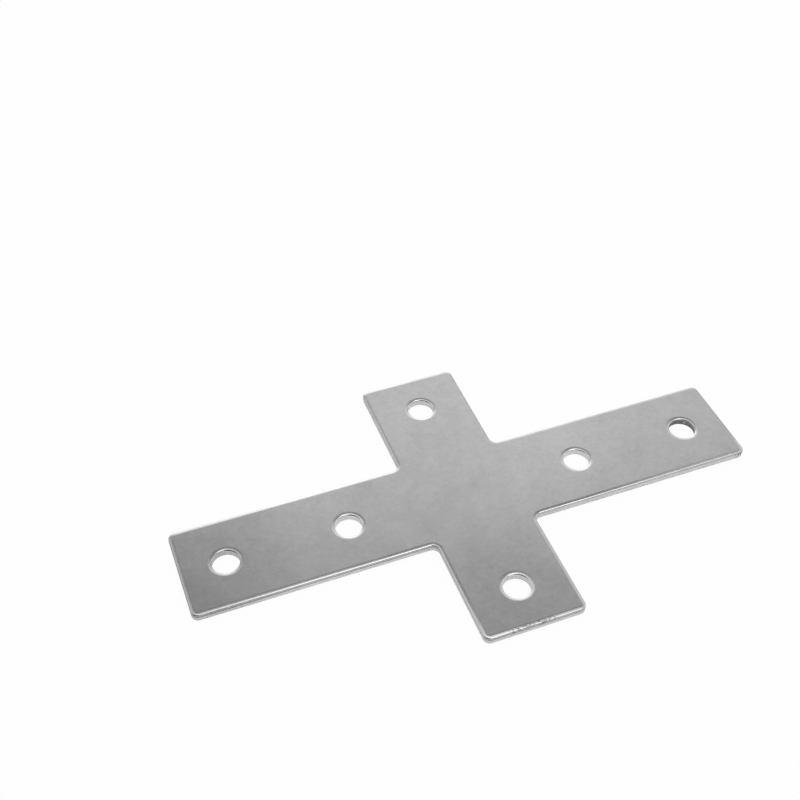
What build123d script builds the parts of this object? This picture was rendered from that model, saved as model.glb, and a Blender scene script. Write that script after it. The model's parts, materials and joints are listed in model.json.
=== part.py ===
"""Cross-shaped joining plate for slotted extrusion: one piece, punched from plated steel sheet.

The plate lies on its underside. The origin is the centre of the cross on that face, +X runs
along the long arms, +Y along the short arms and +Z up to the face whose edges are rolled over.
"""

from build123d import *

import os
from math import cos, radians, sin, tan

# Layout, in mm. The pitch is the side of the extrusions that the plate joins.
hole_pitch = 30.0
long_arm_holes = 2
short_arm_holes = 1
end_margin = 11.0
arm_width = 25.0
hole_diameter = 6.5
outer_corner_radius = 1.7
inner_corner_radius = 1.8

# The sheet, and the section of its cut walls. From the top down a wall is rolled over, then
# burnished and upright, then torn and slightly set back, and it ends in a broken arris.
thickness = 2.0
roll_width = 0.9
roll_depth = 0.5
roll_lead_angle = 8.0
tear_height = 1.0
tear_angle = 4.0
arris = 0.08

# Sizes that follow. Each tool runs past both faces of the sheet by the overshoot.
hole_radius = hole_diameter / 2
long_reach = long_arm_holes * hole_pitch + end_margin
short_reach = short_arm_holes * hole_pitch + end_margin
tear_recess = (tear_height - arris) * tan(radians(tear_angle))
overshoot = thickness / 2


def space_beside_wall(plane, reach):
    """Section of the open space beside a cut wall, out to `reach` from the burnished land.

    On `plane`, x runs from the land into the open and y up from the underside.
    """
    lead = radians(roll_lead_angle)
    with BuildSketch(plane) as section:
        with BuildLine():
            roll = Spline(
                (-roll_width, thickness),
                (0, thickness - roll_depth),
                tangents=((cos(lead), -sin(lead)), (0, -1)),
            )
            Polyline(
                roll @ 1,
                (0, tear_height),
                (-tear_recess, arris),
                (-tear_recess - arris - overshoot, -overshoot),
                (reach, -overshoot),
                (reach, thickness + overshoot),
                (-roll_width, thickness + overshoot),
                roll @ 0,
            )
        make_face()
    return section.sketch


# The finished outline. Its inner corners are the four points nearest the centre.
with BuildSketch() as outline:
    Rectangle(2 * long_reach, arm_width)
    Rectangle(arm_width, 2 * short_reach)
    inner_corners = outline.vertices().group_by(SortBy.DISTANCE)[0]
    outer_corners = [corner for corner in outline.vertices() if corner not in inner_corners]
    fillet(outer_corners, outer_corner_radius)
    fillet(outline.vertices().group_by(SortBy.DISTANCE)[0], inner_corner_radius)

# The strip that the trim takes off around the outline. It stays inside the inner corners' radius.
trim_reach = inner_corner_radius / 2
trim_path = outline.wire()
trim_heading = trim_path % 0
trim_start = Plane(trim_path @ 0, x_dir=trim_heading.cross(Vector(0, 0, 1)), z_dir=-trim_heading)
with BuildPart() as trim:
    sweep(sections=space_beside_wall(trim_start, trim_reach), path=trim_path)

# The space inside one hole, turned about the hole's own axis.
bore_start = Plane((hole_radius, 0, 0), x_dir=(-1, 0, 0), z_dir=(0, 1, 0))
with BuildPart() as bore:
    add(space_beside_wall(bore_start, hole_radius))
    revolve(axis=Axis.Z)

# The blank is cut a little large, the trim brings it to size, and the holes are punched at the
# extrusions' pitch along each arm.
with BuildPart() as cross_plate:
    with BuildSketch():
        add(outline.sketch)
        offset(amount=trim_reach / 2, kind=Kind.INTERSECTION)
    extrude(amount=thickness)
    add(trim.part, mode=Mode.SUBTRACT)
    for arm_angle, arm_holes in ((0, long_arm_holes), (90, short_arm_holes)):
        for step in range(1, arm_holes + 1):
            with PolarLocations(step * hole_pitch, 2, start_angle=arm_angle, rotate=False):
                add(bore.part, mode=Mode.SUBTRACT)

cross_plate.part.label = "cross_plate"
os.makedirs("parts", exist_ok=True)
export_step(cross_plate.part, "parts/cross_plate.step")
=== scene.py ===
"""Cross-shaped joining plate for slotted extrusion, punched from plated steel sheet, on a pale floor.

Lengths are in metres. The plate lies on its underside, and its cut edges are rolled over at the
top, burnished below the roll and torn from there down.
"""

import json
import math

import bpy
import numpy as np
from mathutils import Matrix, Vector, geometry


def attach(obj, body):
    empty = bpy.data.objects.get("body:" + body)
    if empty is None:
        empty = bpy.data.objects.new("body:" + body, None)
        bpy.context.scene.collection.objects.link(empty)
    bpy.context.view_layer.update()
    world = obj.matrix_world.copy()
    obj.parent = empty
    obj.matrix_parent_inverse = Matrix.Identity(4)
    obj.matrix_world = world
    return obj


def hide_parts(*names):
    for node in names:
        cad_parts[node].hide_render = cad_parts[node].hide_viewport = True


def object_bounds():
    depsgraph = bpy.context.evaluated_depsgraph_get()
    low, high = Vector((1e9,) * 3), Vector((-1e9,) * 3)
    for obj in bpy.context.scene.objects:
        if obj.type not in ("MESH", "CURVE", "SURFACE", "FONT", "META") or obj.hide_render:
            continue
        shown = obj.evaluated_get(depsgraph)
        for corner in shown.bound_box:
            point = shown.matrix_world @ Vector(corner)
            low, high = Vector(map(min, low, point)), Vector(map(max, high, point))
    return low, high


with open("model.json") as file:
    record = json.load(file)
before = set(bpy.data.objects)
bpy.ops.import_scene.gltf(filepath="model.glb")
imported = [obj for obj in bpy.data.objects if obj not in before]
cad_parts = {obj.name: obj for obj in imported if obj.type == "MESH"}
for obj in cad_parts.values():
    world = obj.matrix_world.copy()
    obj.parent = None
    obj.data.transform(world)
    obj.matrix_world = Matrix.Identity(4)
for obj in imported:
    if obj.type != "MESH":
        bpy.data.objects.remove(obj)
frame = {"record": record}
cad_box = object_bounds()

MM = 0.001

# The plate. Its length, breadth and thickness are those of the solid, and its holes are the bores.
half_length, half_breadth = cad_box[1].x, cad_box[1].y
thickness = cad_box[1].z
holes = [mount for mount in frame["record"]["mounts"] if mount["kind"] == "bore"]
hole_centres = np.array([hole["pos_m"][:2] for hole in holes])
hole_radius = holes[0]["dims"]["r_mm"] * MM
arm_width = 25 * MM
outer_corner_radius = 1.7 * MM
inner_corner_radius = 1.8 * MM

# The section of a cut edge, from the top down. The roll is a cubic curve, and its two reaches are
# how far its handles lie from its ends.
roll_width = 0.9 * MM
roll_depth = 0.5 * MM
roll_lead = math.radians(8)
roll_reach_top = 0.398 * MM
roll_reach_side = 0.470 * MM
tear_height = 1.0 * MM
tear_angle = math.radians(4)
arris = 0.08 * MM

# How the cut edge departs from that section, always into the metal or along the wall.
tear_wander = 0.14 * MM
tear_roughness = 0.05 * MM
nick_depth = 0.05 * MM

# The waves behind that: the fewest and the most to a millimetre of edge, and how many are summed.
nick_waves = (0.4, 1.3, 14)
slow_tear_waves = (0.02, 0.12, 5)
quick_tear_waves = (0.3, 0.9, 9)
torn_waves = (0.5, 1.9, 12)

# How finely the surfaces are divided, and the angle past which an edge looks sharp.
edge_step = 0.25 * MM
corner_steps = 12
roll_rows = 9
land_rows = 4
torn_rows = 9
face_step = 1.5 * MM
rim_strip = 0.15 * MM
sharp_angle = math.radians(32)

# The plating on the plain face: how much it reflects, and how rough it is.
plating_tone = 0.63
plating_roughness = 0.258

# The floor's white share to the camera, and its smaller one in the metal. The rest of it is paint.
floor_white_to_camera = 0.96
floor_white_in_metal = 0.45

# The room away from its bright areas, and the lamp overhead.
room_level = 0.03
lamp_size = 1.6
lamp_height = 1.2
lamp_energy = 5.2

# The camera. Its lens and sensor are in millimetres.
camera_place = (-81.90 * MM, -171.95 * MM, 223.55 * MM)
camera_aim = (-3.14 * MM, 36.84 * MM, 0)
camera_lens = 53.84
camera_sensor = 36


def rounded_cross():
    """Points and outward normals round the plate's outline, anticlockwise.

    Each of the twelve corners is a quarter circle. Its normal turns from that of the edge
    before to that of the edge after, towards the left at an outer corner and towards the
    right at an inner one, and the edges between are straight and evenly divided.
    """
    half_width = arm_width / 2
    quarter = [
        (half_length, half_width, outer_corner_radius),
        (half_width, half_width, inner_corner_radius),
        (half_width, half_breadth, outer_corner_radius),
    ]
    corners = (
        quarter
        + [(-x, y, radius) for x, y, radius in reversed(quarter)]
        + [(-x, -y, radius) for x, y, radius in quarter]
        + [(x, -y, radius) for x, y, radius in reversed(quarter)]
    )
    place = np.array([corner[:2] for corner in corners])
    radius = np.array([corner[2] for corner in corners])
    before = place - np.roll(place, 1, axis=0)
    before /= np.linalg.norm(before, axis=1)[:, None]
    after = np.roll(before, -1, axis=0)
    turn = before[:, 0] * after[:, 1] - before[:, 1] * after[:, 0]
    centre = place + radius[:, None] * (after - before)
    normal_before = np.stack([before[:, 1], -before[:, 0]], axis=1)

    points, normals = [], []
    for k in range(len(corners)):
        angle = np.linspace(0, math.pi / 2, corner_steps + 1)[:, None]
        normal = np.cos(angle) * normal_before[k] + turn[k] * np.sin(angle) * before[k]
        points.append(centre[k] + turn[k] * radius[k] * normal)
        normals.append(normal)
        following = (k + 1) % len(corners)
        start = points[-1][-1]
        end = centre[following] + turn[following] * radius[following] * normal_before[following]
        steps = math.ceil(np.linalg.norm(end - start) / edge_step)
        along = np.linspace(0, 1, steps + 1)[1:-1, None]
        points.append(start + along * (end - start))
        normals.append(np.repeat(normal[-1:], steps - 1, axis=0))
    return np.concatenate(points), np.concatenate(normals)


def hole_ring(centre):
    """Points evenly spaced round a hole's circle, clockwise, with normals towards its middle."""
    steps = math.ceil(2 * math.pi * hole_radius / edge_step)
    angle = -np.arange(steps) * 2 * math.pi / steps
    radial = np.stack([np.cos(angle), np.sin(angle)], axis=1)
    return centre + hole_radius * radial, -radial


def waves(turn, length, fewest, most, number, random):
    """Smooth noise of about -1 to 1 that closes on itself once round: a sum of cosines.

    `turn` runs from 0 to 1 round an edge of the given length. Each cosine has a random phase
    and a random whole number of waves, from the fewest to the most to a millimetre.
    """
    counts = random.integers(fewest * length / MM, most * length / MM, number)
    phase = random.uniform(0, 2 * math.pi, number)
    total = np.cos(2 * math.pi * turn[..., None] * counts + phase).sum(axis=-1)
    return total / math.sqrt(2 * number)


def cut_edge(points, normals, random):
    """A cut edge: its section carried along a closed line, with rows from the top face down.

    The roll is a cubic curve from the top face, which it leaves at the lead angle, to the
    upright land. The land ends at the tear line, which wanders in height. Below it the wall
    leans back by the tear angle and is rough by three drifting sums of waves, and it ends in
    the arris. The roll is nicked where another sum of waves rises above 1.5, which only a rare
    crest does.
    Gives places, with a row for each point of the section, and each row's band: 0 to 1 on
    the roll, 1 to 2 on the land, 2 to 3 on the torn wall and 3 to 4 on the arris.
    """
    steps = np.linalg.norm(np.roll(points, -1, axis=0) - points, axis=1)
    length = steps.sum()
    turn = (np.cumsum(steps) - steps[0]) / length
    land_top = thickness - roll_depth

    roll = np.linspace(0, 1, roll_rows)[:, None]
    inset = (1 - roll) ** 3 * roll_width
    inset = inset + 3 * (1 - roll) ** 2 * roll * (roll_width - roll_reach_top * math.cos(roll_lead))
    height = (1 - roll) ** 3 * thickness
    height = height + 3 * (1 - roll) ** 2 * roll * (thickness - roll_reach_top * math.sin(roll_lead))
    height = height + 3 * (1 - roll) * roll**2 * (land_top + roll_reach_side)
    height = height + roll**3 * land_top
    highest_crests = np.clip(waves(turn, length, *nick_waves, random) - 1.5, 0, 1)
    inset = inset + nick_depth * highest_crests * np.sin(math.pi * roll) ** 2
    height = np.broadcast_to(height, inset.shape)

    slow = waves(turn, length, *slow_tear_waves, random)
    quick = waves(turn, length, *quick_tear_waves, random)
    tear_line = tear_height + tear_wander * (0.6 * slow + 0.4 * quick)

    land = np.linspace(0, 1, land_rows)[1:, None]
    land_height = (1 - land) * land_top + land * tear_line

    torn = np.linspace(0, 1, torn_rows)[1:, None]
    torn_height = (1 - torn) * tear_line + torn * arris
    lean = math.tan(tear_angle) * (tear_line - torn_height)
    drifts = (-0.6 * MM, 0.0, 0.5 * MM)
    grain = sum(waves(turn + drift * torn / length, length, *torn_waves, random) for drift in drifts)
    rough = tear_roughness * np.clip(0.5 + 0.3 * grain, 0, 1) * np.minimum(1, 5 * torn)

    rim = np.full((1, len(points)), roll_width + rim_strip)
    foot = lean[-1] + rough[-1] + arris
    inset = np.concatenate([rim, inset, 0 * land_height, lean + rough, [foot, foot + rim_strip]])
    top, underside = np.full_like(rim, thickness), np.zeros((2, len(points)))
    height = np.concatenate([top, height, land_height, torn_height, underside])
    band = np.concatenate([[0], roll[:, 0], 1 + land[:, 0], 2 + torn[:, 0], [4, 4]])
    flat = points - inset[..., None] * normals
    return np.concatenate([flat, height[..., None]], axis=-1), band


def strip_faces(rows, around, first):
    """Quads between neighbouring rows of closed rings, the last point of a ring next to its first."""
    here = np.arange(around)
    beside = (here + 1) % around
    upper = first + np.arange(rows - 1)[:, None] * around
    lower = upper + around
    return np.stack([upper + here, lower + here, lower + beside, upper + beside], axis=-1).reshape(-1, 4)


def distance_inside(place):
    """How far places lie inside the plate's sharp outline and outside its holes.

    That is the greater of their depths in the two crossing bars, or the distance to the
    nearest hole's edge where it is less.
    """
    x, y = np.abs(place).T
    half_width = arm_width / 2
    along = np.minimum(half_length - x, half_width - y)
    across = np.minimum(half_width - x, half_breadth - y)
    inside = np.maximum(along, across)
    for centre in hole_centres:
        inside = np.minimum(inside, np.linalg.norm(place - centre, axis=1) - hole_radius)
    return inside


def fill_between(rings, height):
    """A flat face between an outer ring and hole rings: triangles on the rings and an even grid.

    Each ring is a pair of its places and the index of its first vertex. Gives the grid's
    places and the triangles, in which a grid point's index is counted from -1 downwards.
    """
    x, y = np.meshgrid(
        np.arange(-half_length, half_length, face_step),
        np.arange(-half_breadth, half_breadth, face_step * math.sqrt(3) / 2),
    )
    x = x + face_step / 2 * (np.arange(len(x)) % 2)[:, None]
    grid = np.stack([x.ravel(), y.ravel()], axis=1)
    grid = grid[distance_inside(grid) > roll_width + rim_strip + face_step / 2]

    places = np.concatenate([ring for ring, first in rings] + [grid])
    ring_index = [first + np.arange(len(ring)) for ring, first in rings]
    index = np.concatenate(ring_index + [-1 - np.arange(len(grid))])
    starts = np.cumsum([0] + [len(ring) for ring, first in rings])
    loops = [list(range(start, end)) for start, end in zip(starts[:-1], starts[1:])]
    inside_with_holes = 2
    same_place = 1e-6
    _, _, faces, sources, _, _ = geometry.delaunay_2d_cdt(
        [Vector(place) for place in (places / MM).tolist()], [], loops, inside_with_holes, same_place
    )
    source = np.array([of[0] for of in sources])
    faces = source[np.array(faces)]
    corner = places[faces]
    first, second = corner[:, 1] - corner[:, 0], corner[:, 2] - corner[:, 0]
    upwards = first[:, 0] * second[:, 1] - first[:, 1] * second[:, 0] > 0
    faces = np.where(upwards[:, None], faces, faces[:, ::-1])
    return np.column_stack([grid, np.full(len(grid), height)]), index[faces]


def build_plate():
    """The plate: its cut edges, and the two flat faces that fill between them."""
    random = np.random.default_rng(7)
    edges = [rounded_cross()] + [hole_ring(centre) for centre in hole_centres]
    places, bands, bores, quads, top_rings, under_rings = [], [], [], [], [], []
    count = 0
    for points, normals in edges:
        edge, band = cut_edge(points, normals, random)
        rows, around = edge.shape[:2]
        places.append(edge.reshape(-1, 3))
        bands.append(np.repeat(band, around))
        bores.append(np.full(rows * around, count > 0))
        quads.append(strip_faces(rows, around, count))
        top_rings.append((edge[0, :, :2], count))
        under_rings.append((edge[-1, :, :2], count + (rows - 1) * around))
        count += rows * around

    triangles = []
    for rings, height, band, order in ((top_rings, thickness, 0, 1), (under_rings, 0, 4, -1)):
        grid, faces = fill_between(rings, height)
        triangles.append(np.where(faces < 0, count - 1 - faces, faces)[:, ::order])
        places.append(grid)
        bands.append(np.full(len(grid), band))
        bores.append(np.full(len(grid), False))
        count += len(grid)

    mesh = bpy.data.meshes.new("cross_plate_steel")
    faces = np.concatenate(quads).tolist() + np.concatenate(triangles).tolist()
    mesh.from_pydata(np.concatenate(places).tolist(), [], faces)
    mesh.polygons.foreach_set("use_smooth", np.ones(len(faces), dtype=bool))
    mesh.set_sharp_from_angle(angle=sharp_angle)
    for name, values in (("band", bands), ("bore", bores)):
        attribute = mesh.attributes.new(name, "FLOAT", "POINT")
        attribute.data.foreach_set("value", np.concatenate(values).astype(np.float32))
    plate = bpy.data.objects.new("cross_plate_steel", mesh)
    bpy.context.scene.collection.objects.link(plate)
    return plate


class Value:
    """A node's output. Arithmetic on it adds Math nodes."""

    def __init__(self, nodes, socket):
        self.nodes = nodes
        self.socket = socket

    def math(self, operation, *values):
        return self.nodes.add("Math", {"operation": operation}, dict(enumerate(values)))

    def __add__(self, other):
        return self.math("ADD", self, other)

    def __sub__(self, other):
        return self.math("SUBTRACT", self, other)

    def __rsub__(self, other):
        return self.math("SUBTRACT", other, self)

    def __mul__(self, other):
        return self.math("MULTIPLY", self, other)

    def at_most(self, other):
        return self.math("MINIMUM", self, other)

    def at_least(self, other):
        return self.math("MAXIMUM", self, other)

    __radd__ = __add__
    __rmul__ = __mul__


class Nodes:
    """The node tree of a material or of the world."""

    def __init__(self, owner):
        owner.use_nodes = True
        self.tree = owner.node_tree
        self.tree.nodes.clear()

    def add(self, kind, settings=None, inputs=None, output=0):
        """Add a node: first its settings, then the values or links of its sockets."""
        node = self.tree.nodes.new("ShaderNode" + kind)
        for name, setting in (settings or {}).items():
            setattr(node, name, setting)
        for name, value in (inputs or {}).items():
            if isinstance(value, Value):
                self.tree.links.new(value.socket, node.inputs[name])
            else:
                node.inputs[name].default_value = value
        return Value(self, node.outputs[output]) if node.outputs else None

    def step(self, value, low, high):
        """0 up to `low`, 1 from `high` on and smooth between. With low above high it falls instead."""
        start, end = (low, high) if low < high else (high, low)
        ends = {"To Min": 0.0, "To Max": 1.0} if low < high else {"To Min": 1.0, "To Max": 0.0}
        inputs = {"Value": value, "From Min": start, "From Max": end, **ends}
        return self.add("MapRange", {"interpolation_type": "SMOOTHSTEP"}, inputs)

    def noise(self, place, size, detail=2.0, roughness=0.5):
        """Noise from 0 to 1 whose features are about `size` across."""
        inputs = {"Vector": place, "Scale": 1 / size, "Detail": detail, "Roughness": roughness}
        return self.add("TexNoise", inputs=inputs)

    def stretched(self, place, factors):
        """Places multiplied along X, Y and Z."""
        return self.add("VectorMath", {"operation": "MULTIPLY"}, {0: place, 1: factors})

    def near(self, place, centre, core, edge):
        """1 within `core` of an upright axis through a point of the plate, fading to 0 at `edge`."""
        ends = {0: self.stretched(place, (1.0, 1.0, 0.0)), 1: (*centre, 0.0)}
        distance = self.add("VectorMath", {"operation": "DISTANCE"}, ends, output="Value")
        return self.step(distance, edge, core)

    def towards(self, direction, other):
        """The cosine between a direction and a fixed one."""
        ends = {0: direction, 1: other}
        return self.add("VectorMath", {"operation": "DOT_PRODUCT"}, ends, output="Value")


def plated_steel():
    """Satin plated sheet: a mottled face, and cut edges that change with the band.

    The face has patches of painted light behind the inner holes, and painted shade on the lower
    arm and at the left end, where the cut edges carry more painted shade still. The roll carries
    a painted highlight, most of all in the bores and at the left of the lower arm's end, where it
    is a painted glint. It is softer, with a brighter painted highlight, along that end and towards
    the front right corner, a little softer along the left arm's front, darker along the back by
    painted shade, most of all from the middle to the right end, and marked by dark nicks in the
    middle of the lower arm's end. The top of the land has painted shade from the left end to past
    the middle, and the torn wall below it is rough and pale, with dark specks along its foot. The
    last hole on the right is darkened in patches, and dark scale is left at the corner in front
    of it.
    """
    material = bpy.data.materials.new("plated steel")
    nodes = Nodes(material)
    place = nodes.add("TexCoord", output="Object")
    along = nodes.add("SeparateXYZ", inputs={0: place}, output="X")
    across = nodes.add("SeparateXYZ", inputs={0: place}, output="Y")
    band = nodes.add("Attribute", {"attribute_name": "band"}, output="Fac")
    bore = nodes.add("Attribute", {"attribute_name": "bore"}, output="Fac")

    # The zones of the surface, from the face down the cut edge.
    face = nodes.step(band, 0.5, 0.1)
    shoulder = nodes.step(band, 0.02, 0.15) * nodes.step(band, 0.7, 0.4)
    roll = nodes.step(band, 0.3, 0.85) * nodes.step(band, 1.15, 0.95)
    outline_land = nodes.step(band, 0.95, 1.1) * nodes.step(band, 1.8, 1.4) * (1 - bore)
    torn = nodes.step(band, 1.4, 2.0) * nodes.step(band, 3.7, 3.3)
    foot = nodes.step(band, 2.6, 2.9) * nodes.step(band, 3.9, 3.5)

    # The patterns, some of them drawn out down the cut edge.
    cloud = nodes.noise(place, 9.0 * MM, detail=3.0, roughness=1.0)
    patch = nodes.noise(place, 1.1 * MM, detail=2.0)
    speck = nodes.noise(place, 0.5 * MM, detail=1.0)
    streak = nodes.noise(nodes.stretched(place, (1.0, 1.0, 0.06)), 0.22 * MM, detail=2.0)
    bead = nodes.noise(nodes.stretched(place, (1.0, 1.0, 0.2)), 0.7 * MM, detail=3.0, roughness=0.7)
    grain = nodes.noise(nodes.stretched(place, (1.0, 1.0, 0.6)), 0.45 * MM, detail=3.0, roughness=0.7)

    # The places on the plate that differ from the rest.
    last_hole = hole_centres[hole_centres[:, 0].argmax()]
    corner = (half_length - outer_corner_radius, outer_corner_radius - arm_width / 2)
    # Patches of painted light on the face, paler behind the inner holes.
    pale = nodes.near(place, (-37 * MM, 10 * MM), 2 * MM, 18 * MM)
    pale = pale + nodes.near(place, (25 * MM, 9 * MM), 4 * MM, 24 * MM)
    # Painted shade on the face of the lower arm and at the left end, stronger on the left end's cut
    # edges.
    painted_shade = (2.6 - 1.6 * face) * nodes.near(place, (-66 * MM, 0.0), 6 * MM, 24 * MM)
    painted_shade = painted_shade + face * nodes.near(place, (0.0, -28 * MM), 6 * MM, 20 * MM)
    left = nodes.step(along, -10 * MM, -50 * MM)
    front = nodes.step(across, -5 * MM, -11 * MM)
    # Painted shade along the back edges, growing from the middle to the right end.
    back = (1 - front) * (1 - bore) * nodes.step(along, -9 * MM, 9 * MM)
    # A painted glint on the roll at the left of the lower arm's end.
    painted_glint = nodes.near(place, (-9 * MM, -half_breadth), 3 * MM, 6 * MM)
    nicked = nodes.near(place, (-1 * MM, -half_breadth), 4.5 * MM, 6.5 * MM)
    # Where the roll is rougher, and where its painted highlight is brighter: along the lower arm's end
    # and towards the front right corner.
    soft_and_painted_bright = nodes.near(place, (0.0, -half_breadth), 10 * MM, 18 * MM)
    soft_and_painted_bright = soft_and_painted_bright + nodes.near(place, corner, 8 * MM, 52 * MM)

    # Dark patches in the last hole, scale at the corner, specks and nicks, which darken the plating.
    darkened_hole_wall = nodes.near(place, last_hole, 3.8 * MM, 4.2 * MM) * nodes.step(band, 0.75, 1.1)
    scaled_corner = nodes.near(place, corner, 1.5 * MM, 3 * MM) * nodes.step(band, 0.5, 0.9)
    specked_foot = foot * (1 - bore) * nodes.step(along, -20 * MM, 60 * MM)
    dark = darkened_hole_wall * nodes.step(grain, 0.66, 0.56) + scaled_corner * nodes.step(streak, 0.52, 0.44)
    dark = dark + 0.7 * specked_foot * nodes.step(streak, 0.5, 0.42)
    dark = dark + 0.7 * nicked * (shoulder + roll) * nodes.step(bead, 0.5, 0.43)
    dark = dark.at_most(1.0) * nodes.step(band, 4.0, 3.5)

    # The face: random cloud and specks, painted light in the pale patches, and painted shade at the left
    # end and on the lower arm.
    tone = plating_tone + 0.22 * (cloud - 0.5) + 0.1 * (speck - 0.5) + 0.05 * pale - 0.06 * painted_shade
    # The shoulder carries a painted highlight, brighter at the front where the roll is softened and at
    # the painted glint, with painted shade along the back.
    tone = tone + shoulder * (0.08 + 0.12 * soft_and_painted_bright * front + 0.2 * painted_glint - 0.14 * back)
    # The roll carries a painted highlight in the bores and painted shade on all but the front edges,
    # more along the back; its tone wavers at random, most where it is nicked.
    tone = tone + roll * (0.2 * bore + (0.1 + 0.3 * nicked) * (bead - 0.5) - 0.06 * (1 - front + back))
    # The top of the land: grain, and painted shade from the left end to past the middle.
    tone = tone + outline_land * (0.2 * (streak - 0.5) - 0.34 * nodes.step(along, 25 * MM, 5 * MM))
    tone = tone + torn * (0.14 + 0.5 * (grain - 0.5))
    tone = tone * (1 - 0.75 * dark)
    softening = (shoulder + roll).at_most(1.0) * (0.015 + 0.12 * (soft_and_painted_bright + 0.3 * left) * front)
    roughness = plating_roughness + 0.04 * (patch - 0.5) + 0.25 * torn + softening
    relief = face * 0.01 * MM * cloud + 0.004 * MM * outline_land * streak + 0.03 * MM * torn * grain

    colour = nodes.add("CombineColor", {"mode": "RGB"}, {0: tone, 1: tone, 2: tone})
    normal = nodes.add("Bump", inputs={"Height": relief, "Distance": 1.0, "Strength": 1.0})
    steel = {"Base Color": colour, "Metallic": 1.0, "Roughness": roughness, "Normal": normal}
    shader = nodes.add("BsdfPrincipled", inputs=steel)
    nodes.add("OutputMaterial", inputs={"Surface": shader})
    return material


def pale_floor():
    """White to the camera and a grey in the metal, with the plate's soft shadow on it."""
    material = bpy.data.materials.new("pale floor")
    nodes = Nodes(material)
    camera_ray = nodes.add("LightPath", output="Is Camera Ray")
    glossy_ray = nodes.add("LightPath", output="Is Glossy Ray")
    paint = nodes.add("BsdfDiffuse", inputs={"Color": (0.8, 0.8, 0.8, 1)})
    glow = nodes.add("Emission", inputs={"Strength": 1.0})
    share = (floor_white_to_camera * camera_ray).at_least(floor_white_in_metal * glossy_ray)
    surface = nodes.add("MixShader", inputs={0: share, 1: paint, 2: glow})
    nodes.add("OutputMaterial", inputs={"Surface": surface})
    return material


def from_angles(azimuth, elevation):
    """The direction at an angle from +X round towards +Y, and at another above the floor."""
    azimuth, elevation = math.radians(azimuth), math.radians(elevation)
    flat = math.cos(elevation)
    return Vector((flat * math.cos(azimuth), flat * math.sin(azimuth), math.sin(elevation)))


def light_the_room():
    """A dim room with soft bright areas round the plate, which the metal shows.

    To the camera alone it is white all over.

    Each area has its middle, its core angle, the edge angle at which it has faded out, and its
    brightness. A lamp overhead, which the metal does not show, brings matt surfaces to the
    plain level.
    """
    world = bpy.data.worlds.new("room")
    bpy.context.scene.world = world
    nodes = Nodes(world)
    direction = nodes.add("TexCoord", output="Generated")
    areas = {
        "backdrop": (from_angles(65, 26), 16, 40, 0.8),
        "backdrop's foot": (from_angles(80, 5), 10, 34, 1.1),
        "left wall": (from_angles(140, 20), 10, 45, 0.6),
        "left wall's top": (from_angles(140, 50), 8, 30, 0.5),
        "right wall": (from_angles(-5, 20), 10, 45, 0.9),
        "front wall": (from_angles(-75, 12), 12, 40, 0.3),
        "overhead cloth": (from_angles(0, 88), 6, 22, 0.85),
        "overhead cloth's left": (from_angles(170, 74), 6, 24, 0.7),
        "window over the front": (from_angles(-60, 61), 8, 24, 2.3),
    }
    level = room_level
    for middle, core, edge, brightness in areas.values():
        fades_out, is_full = math.cos(math.radians(edge)), math.cos(math.radians(core))
        level = level + brightness * nodes.step(nodes.towards(direction, middle), fades_out, is_full)
    camera_ray = nodes.add("LightPath", output="Is Camera Ray")
    strength = level + camera_ray * (1 - level)
    room = nodes.add("Background", inputs={"Color": (1, 1, 1, 1), "Strength": strength})
    nodes.add("OutputWorld", inputs={"Surface": room})

    lamp = bpy.data.lights.new("overhead lamp", "AREA")
    lamp.shape = "DISK"
    lamp.size = lamp_size
    lamp.energy = lamp_energy
    overhead = bpy.data.objects.new("overhead lamp", lamp)
    overhead.location = (0, 0, lamp_height)
    overhead.visible_glossy = False
    bpy.context.scene.collection.objects.link(overhead)


def lay_floor():
    """The floor, just under the plate."""
    reach = 3.0
    drop = 0.01 * MM
    mesh = bpy.data.meshes.new("floor")
    corners = [(x * reach, y * reach, -drop) for x, y in ((-1, -1), (1, -1), (1, 1), (-1, 1))]
    mesh.from_pydata(corners, [], [(0, 1, 2, 3)])
    mesh.materials.append(pale_floor())
    floor = bpy.data.objects.new("floor", mesh)
    bpy.context.scene.collection.objects.link(floor)


def place_camera():
    """The camera stands over the front left and looks down on the plate."""
    lens = bpy.data.cameras.new("camera")
    lens.sensor_width = camera_sensor
    lens.lens = camera_lens
    lens.clip_start = 0.01
    camera = bpy.data.objects.new("camera", lens)
    camera.location = camera_place
    camera.rotation_mode = "QUATERNION"
    camera.rotation_quaternion = (Vector(camera_aim) - camera.location).to_track_quat("-Z", "Y")
    bpy.context.scene.collection.objects.link(camera)
    bpy.context.scene.camera = camera


plate = build_plate()
plate.data.materials.append(plated_steel())
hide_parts("cross_plate")
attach(plate, "root")

lay_floor()
light_the_room()
place_camera()
bpy.context.scene.view_settings.view_transform = "Standard"
